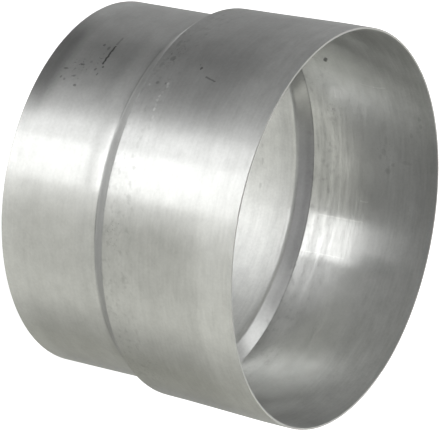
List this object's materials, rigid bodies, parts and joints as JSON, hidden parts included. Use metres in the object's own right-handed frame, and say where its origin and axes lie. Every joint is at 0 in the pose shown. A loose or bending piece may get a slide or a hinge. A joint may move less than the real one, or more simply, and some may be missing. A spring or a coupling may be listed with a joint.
{
  "type": "flue liner reducer",
  "caption": "Round sheet-metal tube that steps in over a formed shoulder, from a wide socket to a narrower spigot, to join two flue liners of different diameter.",
  "frame": {"origin": "centre of the spigot's cut end, where the reducer stands on a level surface", "axes": "+Z along the tube's axis, from the spigot's end to the socket's mouth"},
  "size_m": [0.16, 0.16, 0.11],
  "materials": {
    "formed_sheet": "dull, finely brushed around the tube, light handling marks"
  },
  "bodies": {
    "root": {"reducer_shell": "formed_sheet"}
  },
  "joints": []
}
